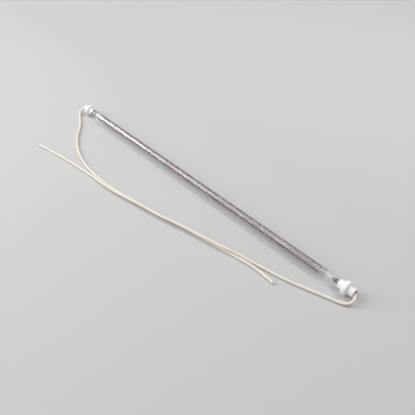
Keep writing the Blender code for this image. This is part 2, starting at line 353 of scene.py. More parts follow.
@dataclass(frozen=True)
class QuartzGlass(Finish):
    """Clear drawn quartz with faint lines along it.

    Args:
        clear: The glass's colour.
        refraction: Its index of refraction.
        roughness: The roughness of its skin.
        shadow_facing: Share of a lamp's light that passes where the glass faces it.
        shadow_limb: Share that passes at the glass's limbs.
        limb_power: How close to the limbs it dims.
    """

    clear: Colour = (0.985, 0.99, 0.99)
    refraction: float = 1.458
    roughness: float = 0.03
    lines: Span = (6.0, 700.0)
    relief: Span = (90.0, 0.0003 * MM)
    shadow_facing: float = 0.98
    shadow_limb: float = 0.84
    limb_power: float = 2.0

    def material(self) -> Material:
        """Return the glass, which lets lamps shine through to what it holds."""
        material, wiring, shader, place = self._open()
        lines = self._lines(wiring, place, self.lines)
        wiring.feed(shader, {
            "Base Color": opaque(self.clear), "Roughness": self.roughness, "IOR": self.refraction,
            "Transmission Weight": 1.0, "Normal": self._relief(wiring, place, self.relief, lines),
        })
        facing = wiring.add("ShaderNodeLayerWeight", {"Blend": 0.5}).outputs["Facing"]
        limb = wiring.maths("POWER", facing, self.limb_power)
        dimmed = wiring.blend(limb, grey(self.shadow_facing), grey(self.shadow_limb))
        passing = wiring.add("ShaderNodeBsdfTransparent", {"Color": dimmed})
        rays = wiring.add("ShaderNodeLightPath")
        through = wiring.maths("MAXIMUM", rays.outputs["Is Shadow Ray"], rays.outputs["Is Diffuse Ray"])
        mixed = wiring.add("ShaderNodeMixShader", {0: through, 1: shader.outputs[0], 2: passing.outputs[0]})
        wiring.feed(wiring.tree.nodes["Material Output"], {"Surface": mixed.outputs[0]})
        return material


@dataclass(frozen=True)
class Oxidised(Finish):
    """Metal that heat has darkened unevenly: the wound wire and the ferrules.

    Args:
        dark: Its colour where it is darkest.
        tinted: Its colour where it is lightest.
        metallic: How much of a metal it is under its oxide.
    """

    dark: Colour
    tinted: Colour
    metallic: float
    roughness: Span
    clouds: Span = (260.0, 2.4)
    lines: Span = (300.0, 5000.0)
    relief: Span = (2600.0, 0.02 * MM)

    def material(self) -> Material:
        """Return the darkened metal."""
        material, wiring, shader, place = self._open()
        colour, mask = self._clouds(wiring, place, self.clouds, self.dark, self.tinted)
        lines = self._lines(wiring, place, self.lines)
        wiring.feed(shader, {
            "Base Color": colour, "Roughness": wiring.ramp(mask, self.roughness), "Metallic": self.metallic,
            "Normal": self._relief(wiring, place, self.relief, lines),
        })
        return material


@dataclass(frozen=True)
class FiredCeramic(Finish):
    """White fired ceramic or its cement: faint clouds, a fine grain, a little dust and painted shade
    darkening the bore.

    Args:
        white: Its lighter colour.
        shade: Its darker colour.
        dusty: Colour of the dust on top.
        painted_bore_shade: Colour painted into the bore and its flared mouth as shade.
        bore_shade_reach: Distances from the axis at which that painted shade starts and is full.
    """

    white: Colour = (0.915, 0.908, 0.90)
    shade: Colour = (0.865, 0.853, 0.842)
    dusty: Colour = (0.80, 0.775, 0.745)
    painted_bore_shade: Colour = (0.10, 0.075, 0.06)
    roughness: Span = (0.36, 0.50)
    clouds: Span = (170.0, 1.6)
    relief: Span = (900.0, 0.03 * MM)
    dust: Span = (420.0, 0.10)
    bore_shade_reach: Span = (3.25 * MM, 2.85 * MM)

    def material(self) -> Material:
        """Return the ceramic."""
        material, wiring, shader, place = self._open()
        colour, mask = self._clouds(wiring, place, self.clouds, self.white, self.shade)
        clean = self._dusted(wiring, place, self.dust, colour, self.dusty)
        middle = wiring.vectors("ADD", {0: place, 1: (0.0, 0.0, -AXIS_HEIGHT)}).outputs[0]
        across = wiring.vectors("MULTIPLY", {0: middle, 1: (0.0, 1.0, 1.0)}).outputs[0]
        radius = wiring.vectors("LENGTH", {0: across})
        # Painted shade: the bore and its flared mouth are darkened by distance from the axis, as shade where
        # little light gets in.
        bore = wiring.ramp(radius.outputs["Value"], UNIT, self.bore_shade_reach, Ramp.SMOOTH)
        wiring.feed(shader, {
            "Base Color": wiring.blend(bore, clean, opaque(self.painted_bore_shade)),
            "Roughness": wiring.ramp(mask, self.roughness),
            "Normal": self._relief(wiring, place, self.relief),
        })
        return material


@dataclass(frozen=True)
class TinnedStrand(Finish):
    """Tinned copper strands with faint drawing lines.

    Args:
        bright: Their lighter colour.
        dull: Their darker colour.
    """

    bright: Colour = (0.80, 0.78, 0.74)
    dull: Colour = (0.62, 0.55, 0.47)
    roughness: Span = (0.26, 0.46)
    clouds: Span = (900.0, 2.0)
    lines: Span = (200.0, 6000.0)

    def material(self) -> Material:
        """Return the tinned metal."""
        material, wiring, shader, place = self._open()
        colour, _ = self._clouds(wiring, place, self.clouds, self.bright, self.dull)
        lines = self._lines(wiring, place, self.lines)
        wiring.feed(shader, {
            "Base Color": colour, "Roughness": wiring.ramp(lines, self.roughness), "Metallic": 1.0,
        })
        return material


@dataclass(frozen=True)
class CreamJacket(Finish):
    """Extruded cream jacket: lines along the lead, soft clouds, a satin skin and a little dust.

    Args:
        cream: Its lighter colour.
        worn: Its darker colour.
        dusty: Colour of the dust on top.
        spread: Length and girth of a lead, over which its UV map runs once.
    """

    cream: Colour = (0.83, 0.775, 0.69)
    worn: Colour = (0.79, 0.73, 0.635)
    dusty: Colour = (0.68, 0.64, 0.575)
    roughness: Span = (0.38, 0.56)
    spread: Span = (0.5, 10.0 * MM)
    lines: Span = (25.0, 2600.0)
    clouds: Span = (60.0, 1.5)
    relief: Span = (1400.0, 0.02 * MM)
    dust: Span = (500.0, 0.10)

    def material(self) -> Material:
        """Return the jacket, whose lines follow the lead by its UV map."""
        material, wiring, shader, place = self._open()
        along = wiring.add("ShaderNodeMapping", {
            "Vector": wiring.add("ShaderNodeUVMap").outputs["UV"], "Scale": (*self.spread, 1.0),
        }).outputs[0]
        lines = self._lines(wiring, along, self.lines)
        clean, _ = self._clouds(wiring, place, self.clouds, self.cream, self.worn)
        wiring.feed(shader, {
            "Base Color": self._dusted(wiring, place, self.dust, clean, self.dusty),
            "Roughness": wiring.ramp(lines, self.roughness),
            "Normal": self._relief(wiring, place, self.relief, lines),
        })
        return material


@dataclass(frozen=True)
class PaleFloor(Finish):
    """The plain pale surface that the part lies on, with painted light that makes it brighter to the far
    left, at the back and far away.

    Args:
        far: Its colour at the far left, lighter than the near one as painted light.
        near: Its colour at the near right.
        sides: Places of these two along X.
        back_painted_light: How much painted light brightens it at the back.
        back: Places along Y at which that starts and is full.
        distant_painted_light: How much painted light brightens it far away.
        rim: Distances from the part at which that starts and is full.
        grain: Scale and contrast of its grain.
        grain_level: Level of the grain's darker places.
        roughness: Its roughness.
        specular: Its specular level.
    """

    far: Colour = (0.585, 0.584, 0.582)
    near: Colour = (0.572, 0.570, 0.566)
    sides: Span = (-0.4, 0.3)
    back_painted_light: float = 1.24
    back: Span = (0.12, 0.75)
    distant_painted_light: float = 1.6
    rim: Span = (0.8, 2.4)
    grain: Span = (700.0, 0.8)
    grain_level: float = 0.985
    roughness: float = 0.75
    specular: float = 0.25

    def material(self) -> Material:
        """Return the floor's finish."""
        material, wiring, shader, place = self._open()
        spot = wiring.add("ShaderNodeSeparateXYZ", {0: place})
        # Painted light: the tone gets lighter to the far left, at the back and far away, in place of the
        # lamps' uneven light on the floor.
        share = wiring.ramp(spot.outputs["X"], UNIT, self.sides)
        back = wiring.ramp(spot.outputs["Y"], (1.0, self.back_painted_light), self.back)
        away = wiring.vectors("LENGTH", {0: place}).outputs["Value"]
        rim = wiring.ramp(away, (1.0, self.distant_painted_light), self.rim, Ramp.SMOOTH)
        tone = wiring.blend(share, opaque(self.far), opaque(self.near))
        base = wiring.vectors("SCALE", {0: tone, "Scale": wiring.maths("MULTIPLY", back, rim)}).outputs[0]
        grain, _ = self._clouds(wiring, place, self.grain, (self.grain_level,) * 3, (1.0, 1.0, 1.0))
        mixed = wiring.add("ShaderNodeMix", {0: 1.0, 6: base, 7: grain},
                           data_type="RGBA", blend_type="MULTIPLY")
        wiring.feed(shader, {
            "Base Color": mixed.outputs[2], "Roughness": self.roughness, "Specular IOR Level": self.specular,
        })
        return material


@dataclass(frozen=True)
class Finishes:
    """Every finish of the object, made once."""

    quartz: Material
    wire: Material
    ceramic: Material
    cement: Material
    ferrule: Material
    strand: Material
    jacket: Material
    floor: Material

    @classmethod
    def make(cls, effects: Effects) -> "Finishes":
        """Make all the materials.

        Args:
            effects: The shader groups that they share.

        Returns:
            The finished set.
        """
        return cls(
            quartz=QuartzGlass("drawn_quartz", effects).material(),
            wire=Oxidised("oxidised_wire", effects, dark=(0.285, 0.235, 0.235), tinted=(0.39, 0.325, 0.325),
                          metallic=1.0, roughness=(0.30, 0.38), clouds=(90.0, 2.4)).material(),
            ceramic=FiredCeramic("fired_ceramic", effects).material(),
            cement=FiredCeramic("fired_cement", effects, white=(0.93, 0.922, 0.91),
                                shade=(0.87, 0.858, 0.843), roughness=(0.79, 0.93),
                                relief=(1500.0, 0.06 * MM), dust=(420.0, 0.0)).material(),
            ferrule=Oxidised("heat_tinted_ferrule", effects, dark=(0.035, 0.02, 0.018),
                             tinted=(0.10, 0.058, 0.05), metallic=0.2, roughness=(0.55, 0.75)).material(),
            strand=TinnedStrand("tinned_strands", effects).material(),
            jacket=CreamJacket("cream_jacket", effects).material(),
            floor=PaleFloor("pale_floor", effects).material(),
        )


@dataclass(frozen=True)
class Corner:
    """A corner of a turned piece's outline, in metres.

    Args:
        along: Place along the axis.
        radius: Distance from the axis.
        reach: How far along its two sides the corner's rounding reaches.
        segments: Steps of the rounding.
    """

    along: float
    radius: float
    reach: float = 0.0
    segments: int = 5


def turned(corners: list[Corner], steps: int) -> Shape:
    """Turn a closed outline round the X axis.

    Args:
        corners: The outline's corners in order.
        steps: Facets round the piece.

    Returns:
        A closed ring with outward faces, lying along X.
    """
    shape = bmesh.new()
    points = [shape.verts.new((corner.along, 0.0, -corner.radius)) for corner in corners]
    shape.faces.new(points)
    for point, corner in zip(points, corners):
        if corner.reach > 0.0:
            bmesh.ops.bevel(shape, geom=[point], affect="VERTICES", offset=corner.reach,
                            segments=corner.segments, profile=0.5, material=-1)
    bmesh.ops.delete(shape, geom=shape.faces[:], context="FACES_ONLY")
    bmesh.ops.spin(shape, geom=shape.verts[:] + shape.edges[:], cent=(0, 0, 0), axis=(1, 0, 0),
                   angle=2 * math.pi, steps=steps, use_merge=True)
    bmesh.ops.recalc_face_normals(shape, faces=shape.faces)
    return shape


def finished(name: str, shape: Shape, material: Material,
             place: Matrix = Matrix.Identity(4)) -> bpy.types.Object:
    """Turn a bmesh into a linked object whose place is in its mesh.

    Args:
        name: The piece's name.
        shape: The bmesh, which is freed.
        material: The piece's finish.
        place: Transform of the shape into the frame.

    Returns:
        The new object, at the origin.
    """
    bmesh.ops.transform(shape, matrix=place, verts=shape.verts)
    mesh = bpy.data.meshes.new(name)
    shape.to_mesh(mesh)
    shape.free()
    mesh.shade_smooth()
    mesh.set_sharp_from_angle(angle=SMOOTH_ANGLE)
    mesh.materials.append(material)
    piece = bpy.data.objects.new(name, mesh)
    bpy.context.scene.collection.objects.link(piece)
    return piece


def mounted(piece: bpy.types.Object, slot: str, *nodes: str) -> bpy.types.Object:
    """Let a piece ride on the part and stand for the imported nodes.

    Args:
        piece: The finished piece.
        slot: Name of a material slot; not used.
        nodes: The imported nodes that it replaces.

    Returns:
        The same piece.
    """
    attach(piece, BODY)
    if nodes:
        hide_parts(*nodes)
    log.info("%s: %d faces", piece.name, len(piece.data.polygons))
    return piece


def spline(route: Route, spacing: float) -> list[Vector]:
    """Read points from the natural cubic spline through a route.

    Args:
        route: The route's own points, in millimetres.
        spacing: Greatest distance between two points, in metres.

    Returns:
        The points in metres.
    """
    places = np.array(route) * MM
    spans = np.linalg.norm(np.diff(places, axis=0), axis=1)
    slopes = np.diff(places, axis=0) / spans[:, None]
    rows = np.eye(len(places))
    bends = np.zeros_like(places)
    for index in range(1, len(places) - 1):
        before, after = spans[index - 1], spans[index]
        rows[index, index - 1:index + 2] = before, 2 * (before + after), after
        bends[index] = 6 * (slopes[index] - slopes[index - 1])
    bends = np.linalg.solve(rows, bends)
    points = []
    for index, span in enumerate(spans):
        steps = math.ceil(span / spacing)
        for step in range(steps):
            far = step / steps
            near = 1.0 - far
            straight = near * places[index] + far * places[index + 1]
            sag = (near ** 3 - near) * bends[index] + (far ** 3 - far) * bends[index + 1]
            points.append(Vector(straight + sag * span ** 2 / 6))
    points.append(Vector(places[-1]))
    return points


def swept(path: list[Vector], radius: float, rounds: int,
          girths: list[float] | None = None) -> Shape:
    """Sweep a round section along a path, with closed ends and a UV map along it.

    Args:
        path: The centre line's points, in metres.
        radius: The section's radius.
        rounds: Blender's bevel resolution, from which the section's facets follow.
        girths: At each point, the section's share of that radius, or None where it stays the same.

    Returns:
        The closed tube.
    """
    curve = bpy.data.curves.new("sweep", "CURVE")
    curve.dimensions = "3D"
    curve.use_fill_caps = True
    curve.bevel_depth = radius
    curve.bevel_resolution = rounds
    line = curve.splines.new("POLY")
    line.points.add(len(path) - 1)
    for place, point, girth in zip(line.points, path, girths or [1.0] * len(path)):
        place.co = (*point, 1.0)
        place.radius = girth
    carrier = bpy.data.objects.new("sweep", curve)
    bpy.context.scene.collection.objects.link(carrier)
    ready = carrier.evaluated_get(bpy.context.evaluated_depsgraph_get())
    mesh = bpy.data.meshes.new_from_object(ready)
    bpy.data.objects.remove(carrier)
    bpy.data.curves.remove(curve)
    shape = bmesh.new()
    shape.from_mesh(mesh)
    bpy.data.meshes.remove(mesh)
    bmesh.ops.remove_doubles(shape, verts=shape.verts, dist=SAME_POINT)
    bmesh.ops.recalc_face_normals(shape, faces=shape.faces)
    return shape


@dataclass
class QuartzTube:
    """The clear tube, drawn to size, with ends that a flame has softened.

    Args:
        wall: Thickness of the glass.
        lip: Reach of the melted rounding at each end.
        straight: Distance from each end at which the walls run dead straight.
        steps: Facets round the tube.
    """

    wall: float = 0.8 * MM
    lip: float = 0.3 * MM
    straight: float = 1.5 * MM
    steps: int = 144

    def build(self, finishes: Finishes) -> None:
        """Model and mount the tube."""
        outer = (TUBE_HIGH.y - TUBE_LOW.y) / 2
        bore = outer - self.wall
        half = TUBE_HIGH.x
        run = half - self.straight
        ends = ((-half, self.lip), (-run, 0.0), (run, 0.0), (half, self.lip))
        shape = turned([Corner(along, bore, reach) for along, reach in ends]
                       + [Corner(along, outer, reach) for along, reach in reversed(ends)], self.steps)
        tube = finished("drawn_tube", shape, finishes.quartz, ON_AXIS)
        mounted(tube, "quartz", "quartz_tube")


@dataclass
class HeatingCoil:
    """The wound resistance wire: a leg, open turns, close turns, open turns and a leg.

    Args:
        wire: Diameter of the wire.
        mean_radius: Radius of the winding at the wire's middle.
        cold_end: Length at each end of the tube without close turns.
        close_turns: Number of close turns.
        open_turns: Number of drawn-out turns at each end.
        open_pitch: Spacing of those turns.
        doubling: How much thicker the wire is in those turns and in the legs, where it lies double.
        turn_steps: Points on each turn.
        unevenness: How far a turn may lie from its even place.
        stray_rate: How much of the noise's own length one turn goes through.
        stray_place: Where in the noise the turns lie.
        rounds: Bevel resolution of the wire.
    """

    wire: float = 0.44 * MM
    mean_radius: float = 3.88 * MM
    cold_end: float = 31.5 * MM
    close_turns: int = 424
    open_turns: int = 3
    open_pitch: float = 2.9 * MM
    doubling: float = 1.5
    turn_steps: int = 24
    unevenness: float = 0.02 * MM
    stray_rate: float = 0.21
    stray_place: Span = (3.7, 1.3)
    rounds: int = 2

    def _stray(self, turn: float) -> float:
        """How far along the axis the wire strays from its even place at a turn."""
        return self.unevenness * noise.noise(Vector((turn * self.stray_rate, *self.stray_place)))

    def _close_end(self) -> float:
        """Distance from the tube's middle to the end of the close turns."""
        return TUBE_HIGH.x - self.cold_end

    def path(self) -> list[Vector]:
        """Return the wire's centre line in the tube's own axis."""
        close_end = self._close_end()
        pitch = 2 * close_end / self.close_turns
        total = self.close_turns + 2 * self.open_turns
        half = close_end + self.open_turns * self.open_pitch
        leg_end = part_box("heating_coil")[1][0]
        points = [Vector((-leg_end, 0.0, 0.0)), Vector((-(leg_end + half) / 2, 0.0, 0.0))]
        for step in range(total * self.turn_steps + 1):
            turn = step / self.turn_steps
            ease_in, ease_out = (max(0.0, min(1.0, value)) for value in (turn, total - turn))
            radius = self.mean_radius * ease_in ** 2 * (3 - 2 * ease_in) * ease_out ** 2 * (3 - 2 * ease_out)
            if turn < self.open_turns:
                x = -half + turn * self.open_pitch
            elif turn > total - self.open_turns:
                x = half - (total - turn) * self.open_pitch
            else:
                x = -close_end + (turn - self.open_turns) * pitch
            x += self._stray(turn) * min(1.0, turn, total - turn)
            angle = 2 * math.pi * turn
            points.append(Vector((x, radius * math.cos(angle), radius * math.sin(angle))))
        points += [Vector(((leg_end + half) / 2, 0.0, 0.0)), Vector((leg_end, 0.0, 0.0))]
        return points

    def build(self, finishes: Finishes) -> None:
        """Model and mount the wire."""
        path = self.path()
        close_end = self._close_end()
        girths = [self.doubling if abs(point.x) > close_end else 1.0 for point in path]
        shape = swept(path, self.wire / 2, self.rounds, girths)
        coil = finished("wound_wire", shape, finishes.wire, ON_AXIS)
        mounted(coil, "coil_wire", "heating_coil")


@dataclass
class EndCap:
    """A stepped ceramic cap with its cement: spigot, round collar, nose and flared mouth.

    Args:
        side: The end of the tube that it closes.
        seat: Distance from the tube's middle to the collar's inner face.
        spigot_length: How far the spigot goes into the tube.
        spigot_radius: The spigot's radius.
        bore: Radius of the hole for the ferrule and the lead.
        collar_thickness: Thickness of the collar.
        collar_reach: Rounding of the collar's edges.
        nose_radius: Radius of the nose.
        nose_reach: Rounding of the nose's end.
        nose_fillet: Fillet between the nose and the collar.
        mouth_flare: How much wider the mouth is than the bore.
        mouth_depth: How deep the flare goes.
        chamfer: Chamfer of the spigot's end.
        edge_reach: Rounding of that chamfer's edges.
        end_reach: Rounding of the bore's inner end and of the cement's.
        throat_reach: Rounding where the bore meets the flare.
        rim_reach: Rounding of the mouth's rim and of the spigot's foot.
        film_radius: Outer radius of the cement, a little over the glass's bore, which it wets.
        film_lap: How far the cement reaches under the spigot's skin.
        film_gap: How far it ends from the collar.
        film_reach: Rounding of its inner edge.
        swing: How far that edge stands in or out, as squeezed paste sets.
        swing_scale: Fineness of these swings.
        steps: Facets round the cap.
    """

    side: Side
    seat: float = 237.8 * MM
    spigot_length: float = 5.9 * MM
    spigot_radius: float = 3.4 * MM
    bore: float = 2.4 * MM
    collar_thickness: float = 6.5 * MM
    collar_reach: float = 1.8 * MM
    nose_radius: float = 4.75 * MM
    nose_reach: float = 1.0 * MM
    nose_fillet: float = 0.4 * MM
    mouth_flare: float = 0.9 * MM
    mouth_depth: float = 1.8 * MM
    chamfer: float = 0.3 * MM
    edge_reach: float = 0.05 * MM
    end_reach: float = 0.1 * MM
    throat_reach: float = 0.6 * MM
    rim_reach: float = 0.2 * MM
    film_radius: float = 4.25 * MM
    film_lap: float = 0.02 * MM
    film_gap: float = 0.05 * MM
    film_reach: float = 0.3 * MM
    swing: float = 0.14 * MM
    swing_scale: float = 700.0
    steps: int = 112

    def _cap(self) -> Shape:
        """Turn the cap, with the collar's inner face at x = 0."""
        collar = (CAP_HIGH.z - CAP_LOW.z) / 2
        nose_end = CAP_HIGH.x - self.seat
        return turned([
            Corner(-self.spigot_length, self.bore, self.end_reach, 2),
            Corner(nose_end - self.mouth_depth, self.bore, self.throat_reach, 4),
            Corner(nose_end, self.bore + self.mouth_flare, self.rim_reach, 3),
            Corner(nose_end, self.nose_radius, self.nose_reach, 8),
            Corner(self.collar_thickness, self.nose_radius, self.nose_fillet, 5),
            Corner(self.collar_thickness, collar, self.collar_reach, 12),
            Corner(0.0, collar, self.collar_reach, 12),
            Corner(0.0, self.spigot_radius, self.rim_reach, 3),
            Corner(-self.spigot_length + self.chamfer, self.spigot_radius, self.edge_reach, 2),
            Corner(-self.spigot_length, self.spigot_radius - self.chamfer, self.edge_reach, 2),
        ], self.steps)

    def _cement(self) -> Shape:
        """Turn the cement, then push its inner edge about as squeezed paste sets."""
        inner = self.spigot_radius - self.film_lap
        shape = turned([
            Corner(-self.spigot_length + self.end_reach, inner, self.end_reach, 2),
            Corner(-self.film_gap, inner),
            Corner(-self.film_gap, self.film_radius),
            Corner(-self.spigot_length, self.film_radius, self.film_reach, 4),
        ], self.steps)
        for point in shape.verts:
            if point.co.x < -self.spigot_length / 2:
                section = Vector((0.0, point.co.y, point.co.z))
                place = section * self.swing_scale + Vector((self.side.value, 0.0, 0.0))
                point.co.x += self.swing * noise.noise(place)
        return shape

    def build(self, finishes: Finishes) -> None:
        """Model and mount the cap and its cement."""
        word, place = self.side.word, self.side.place(self.seat)
        cap = finished(word + "_cap", self._cap(), finishes.ceramic, place)
        mounted(cap, "ceramic", word + "_end_cap")
        cement = finished(word + "_cement", self._cement(), finishes.cement, place)
        mounted(cement, "cement", word + "_cement_ring")


@dataclass
class Ferrule:
    """A crimped steel barrel that joins the wire's leg to the lead's strands.

    Args:
        side: The end of the tube that it lies in.
        leg_bore: Radius of the hole for the wire's leg.
        strand_bore: Radius of the hole for the strands.
        leg_grip: How much of the leg it holds.
        strand_grip: How much of the strands it holds.
        neck_length: Length of its narrower inner end.
        neck_share: That end's radius as a share of the barrel's.
        shoulder_length: Length of the shoulder between neck and barrel.
        step_length: Length of the step between the two holes.
        edge_reach: Rounding of the holes' edges and of the neck's foot.
        shoulder_reach: Rounding of the shoulder and of the neck's end.
        mouth_reach: Rounding of the barrel's outer end.
        crimp_width: Width of a crimp.
        crimp_depth: How deep the jaws press.
        crimp_blend: How sharply a crimp ends: a lower value is sharper.
        crimp_cuts: Cuts along the barrel that take up the crimps.
        skin_slack: How far under the barrel's radius an edge still counts as its skin.
        skin_depth: Depth under the skin from which the jaws leave the barrel as it is.
        steps: Facets round the barrel.
    """

    side: Side
    leg_bore: float = 0.3 * MM
    strand_bore: float = 0.85 * MM
    leg_grip: float = 5.0 * MM
    strand_grip: float = 6.2 * MM
    neck_length: float = 2.0 * MM
    neck_share: float = 0.5
    shoulder_length: float = 0.5 * MM
    step_length: float = 0.3 * MM
    edge_reach: float = 0.1 * MM
    shoulder_reach: float = 0.2 * MM
    mouth_reach: float = 0.35 * MM
    crimp_width: float = 2.2 * MM
    crimp_depth: float = 0.55 * MM
    crimp_blend: float = 0.7
    crimp_cuts: int = 36
    skin_slack: float = 0.1 * MM
    skin_depth: float = 0.3 * MM
    steps: int = 48

    def _barrel(self, outer: float, length: float) -> Shape:
        """Turn the barrel and cut its skin for the crimps.

        Args:
            outer: The barrel's radius.
            length: Its length.

        Returns:
            The uncrimped barrel from x = 0 outwards.
        """
        step = length - self.strand_grip - self.step_length
        neck = outer * self.neck_share
        shape = turned([
            Corner(0.0, self.leg_bore, self.edge_reach, 2),
            Corner(step, self.leg_bore),
            Corner(step + self.step_length, self.strand_bore),
            Corner(length, self.strand_bore, self.edge_reach, 2),
            Corner(length, outer, self.mouth_reach, 4),
            Corner(self.neck_length + self.shoulder_length, outer, self.shoulder_reach, 3),
            Corner(self.neck_length, neck, self.edge_reach, 2),
            Corner(0.0, neck, self.shoulder_reach, 3),
        ], self.steps)
        lengthways = [edge for edge in shape.edges
                      if abs(edge.verts[0].co.x - edge.verts[1].co.x) > length / 2
                      and math.hypot(*edge.verts[0].co.yz) > outer - self.skin_slack]
        bmesh.ops.subdivide_edges(shape, edges=lengthways, cuts=self.crimp_cuts, use_grid_fill=True)
        return shape

    def build(self, finishes: Finishes) -> None:
        """Press the crimps into the barrel and mount it."""
        outer = (FERRULE_HIGH.z - FERRULE_LOW.z) / 2
        length = FERRULE_HIGH.x - FERRULE_LOW.x
        shape = self._barrel(outer, length)
        for point in shape.verts:
            radius = math.hypot(*point.co.yz)
            if radius < outer - self.skin_depth:
                continue
            angle = math.atan2(point.co.y, point.co.z)
            for middle in (self.neck_length + self.leg_grip / 2, length - self.strand_grip / 2):
                off = abs(point.co.x - middle) / (self.crimp_width / 2)
                if off < 1.0:
                    press = (math.cos(off * math.pi / 2) ** self.crimp_blend) * math.cos(2 * angle) ** 2
                    point.co.yz = point.co.yz * (1.0 - self.crimp_depth * press / radius)
        bmesh.ops.recalc_face_normals(shape, faces=shape.faces)
        place = self.side.place(FERRULE_LOW.x)
        ferrule = finished(self.side.word + "_ferrule", shape, finishes.ferrule, place)
        mounted(ferrule, "terminal_steel", self.side.word + "_terminal")


@dataclass(frozen=True)
class Strands:
    """The lead's conductor: strands twisted round one in the middle.

    Args:
        count: Number of strands.
        radius: Radius of one strand's share of the bundle.
        fit: Share of that radius that the strand fills.
        twist_pitch: Length of one turn of the twist.
        spacing: Distance between the points of a strand.
        rounds: Bevel resolution of a strand.
    """

    count: int = 7
    radius: float = 0.23 * MM
    fit: float = 0.98
    twist_pitch: float = 14.0 * MM
    spacing: float = 0.5 * MM
    rounds: int = 2

    def model(self, length: float) -> Shape:
        """Model a straight bundle from x = 0 to its length.

        Args:
            length: Length of the bundle.

        Returns:
            The closed strands.
        """
        bundle = bmesh.new()
        steps = math.ceil(length / self.spacing)
        for strand in range(self.count):
            lay = 0.0 if strand == 0 else 2 * self.radius
            path = []
            for step in range(steps + 1):
                x = length * step / steps
                angle = 2 * math.pi * (strand / (self.count - 1) + x / self.twist_pitch)
                path.append(Vector((x, lay * math.cos(angle), lay * math.sin(angle))))
            part = swept(path, self.radius * self.fit, self.rounds)
            mesh = bpy.data.meshes.new("strand")
            part.to_mesh(mesh)
            part.free()
            bundle.from_mesh(mesh)
            bpy.data.meshes.remove(mesh)
        return bundle


@dataclass
class Lead:
    """A limp lead: a cream jacket over twisted strands, cut off plainly at its far end.

    Args:
        side: The cap that it comes out of.
        route: Points of its centre line in millimetres, from inside the cap to the cut.
        length: The lead's real length; not used.
        diameter: The jacket's outer diameter.
        core: Radius of the hole that the strands fill.
        core_depth: Depth of that hole in the cut face.
        core_taper: How much narrower it gets on the way.
        rim: Width of the softened rim of the cut.
        recess: How far the strands end behind the cut face.
        cut_length: Length of the strands that stand behind it.
        spacing: Greatest distance between two points of the centre line.
        rounds: Bevel resolution of the jacket.
        strands: The conductor.
    """

    side: Side
    route: Route
    length: float
    diameter: float = 3.2 * MM
    core: float = 0.74 * MM
    core_depth: float = 2.0 * MM
    core_taper: float = 0.02 * MM
    rim: float = 0.12 * MM
    recess: float = 0.12 * MM
    cut_length: float = 1.6 * MM
    spacing: float = 1.2 * MM
    rounds: int = 6
    strands: Strands = Strands()

    def _jacket(self, path: list[Vector]) -> Shape:
        """Sweep the jacket, open its cut end for the strands and soften the rim."""
        shape = swept(path, self.diameter / 2, self.rounds)
        shape.faces.ensure_lookup_table()
        end = min(shape.faces, key=lambda face: (face.calc_center_median() - path[-1]).length)
        rim = list(end.edges)
        bmesh.ops.inset_individual(shape, faces=[end], thickness=self.diameter / 2 - self.core, depth=0.0)
        bmesh.ops.inset_individual(shape, faces=[end], thickness=self.core_taper, depth=-self.core_depth)
        bmesh.ops.bevel(shape, geom=rim, affect="EDGES", offset=self.rim, segments=2, profile=0.5,
                        material=-1)
        return shape

    def build(self, finishes: Finishes) -> None:
        word = self.side.word
        path = spline(self.route, self.spacing)
        jacket = finished(word + "_jacket", self._jacket(path), finishes.jacket)
        mounted(jacket, "lead_jacket", word + "_lead")

        end = path[-1]
        inwards = (path[-3] - end).normalized()
        turn = inwards.to_track_quat("X", "Z").to_matrix().to_4x4()
        place = Matrix.Translation(end + inwards * self.recess) @ turn
        cut = finished(word + "_cut_strands", self.strands.model(self.cut_length), finishes.strand, place)
        mounted(cut, "conductor")

        core = finished(word + "_strands", self.strands.model(CONDUCTOR_HIGH.x - CONDUCTOR_LOW.x),
                        finishes.strand, self.side.place(CONDUCTOR_LOW.x))
        mounted(core, "conductor", word + "_conductor")


OUTLET: Route = (
    (236.5, 0.0, 7.5), (241.0, 0.0, 7.5), (245.5, 0.0, 7.5), (249.9, -0.2, 7.4), (252.0, -1.15, 7.0),
    (253.8, -2.9, 6.3), (254.9, -6.3, 4.95), (254.2, -9.9, 3.5), (251.5, -12.8, 2.45),
)
RIGHT_ROUTE: Route = OUTLET + (
    (247.3, -14.8, 1.85), (242.5, -16.4, 1.65), (234.5, -18.9, 1.65),
    (217.0, -24.6, 1.65), (206.0, -28.1, 1.65), (191.0, -32.3, 1.65),
    (177.0, -35.3, 1.65), (165.0, -37.6, 1.65), (156.0, -39.6, 1.9), (147.5, -41.7, 2.9),
    (137.5, -44.3, 4.1), (128.0, -47.0, 4.9), (118.5, -49.7, 5.2), (98.0, -54.2, 5.1),
    (76.5, -58.4, 4.9), (54.5, -62.8, 4.7), (32.5, -68.2, 4.4), (14.5, -71.5, 4.2),
    (-5.0, -74.6, 4.0), (-23.5, -78.0, 3.7), (-40.0, -80.8, 3.4), (-61.0, -83.6, 3.0),
    (-81.5, -84.2, 2.3), (-97.0, -84.6, 1.75), (-114.0, -86.2, 1.65), (-144.5, -89.5, 1.65),
    (-176.0, -94.2, 1.65), (-197.5, -98.0, 1.65), (-208.0, -100.0, 1.65),
)
LEFT_ROUTE: Route = tuple((-x, y, z) for x, y, z in OUTLET) + (
    (-247.5, -15.0, 1.85), (-243.0, -17.2, 1.65), (-236.0, -20.8, 1.65),
    (-222.5, -28.5, 1.65), (-206.5, -40.0, 1.65), (-189.0, -52.5, 1.65), (-168.0, -64.0, 1.65),
    (-146.0, -72.3, 1.65), (-124.0, -77.5, 1.65), (-107.0, -79.8, 1.65), (-81.5, -80.4, 1.65),
    (-61.0, -79.6, 1.65), (-40.0, -77.6, 1.65), (-24.0, -75.0, 1.65), (-5.0, -71.8, 1.65),
    (14.5, -68.8, 1.65), (32.0, -65.5, 1.65), (54.0, -60.8, 1.65), (76.5, -56.9, 1.65),
    (97.5, -53.4, 1.65), (118.5, -50.0, 1.65), (138.0, -46.8, 1.65), (150.0, -45.0, 1.65),
    (160.0, -44.2, 1.65), (172.0, -44.3, 1.65), (185.5, -45.0, 1.65),
)


